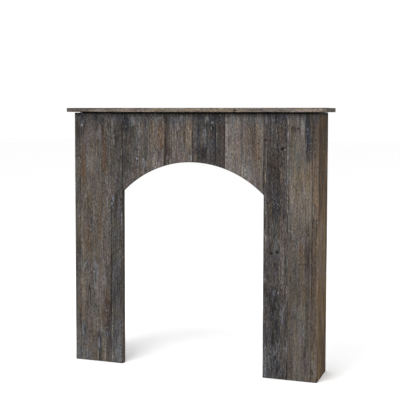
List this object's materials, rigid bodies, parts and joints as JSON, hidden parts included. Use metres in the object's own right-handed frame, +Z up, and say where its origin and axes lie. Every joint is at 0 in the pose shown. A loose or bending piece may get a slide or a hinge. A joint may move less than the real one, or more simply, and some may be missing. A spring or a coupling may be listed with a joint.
{
  "type": "wooden fireplace mantel",
  "caption": "Freestanding fireplace surround of weathered upright boards, with deep side boards, an arched fire opening and a thin overhanging shelf.",
  "frame": {"origin": "on the floor, at the middle of the mantel's whole width and depth", "axes": "+X to the viewer's right along the shelf, -Y out of the front face, +Z up"},
  "size_m": [1.051, 0.182, 1.0215],
  "materials": {
    "front_boards": "weathered grey-brown bare wood, dull, with dark stains and whitish flecks",
    "dark_boards": "weathered blue-black and brown bare wood, dull",
    "side_boards": "weathered warm brown bare wood, dull, with dark upright streaks",
    "shelf": "weathered pale grey-brown bare wood, dull, darker on its worn top edge",
    "support_frame": "rough-sawn dark wood, dull"
  },
  "bodies": {
    "root": {"shelf": "shelf", "side_board_left": "side_boards", "side_board_right": "side_boards", "leg_board_left_outer": "front_boards", "leg_board_left_jamb": "dark_boards", "leg_board_right_jamb": "dark_boards", "leg_board_right_outer": "front_boards", "header_board_1": "front_boards", "header_board_2": "front_boards", "header_board_3": "dark_boards", "header_board_4": "dark_boards", "header_board_5": "front_boards", "top_rail": "support_frame", "end_cleat_left": "support_frame", "end_cleat_right": "support_frame", "end_packer_left": "support_frame", "end_packer_right": "support_frame"}
  },
  "joints": []
}
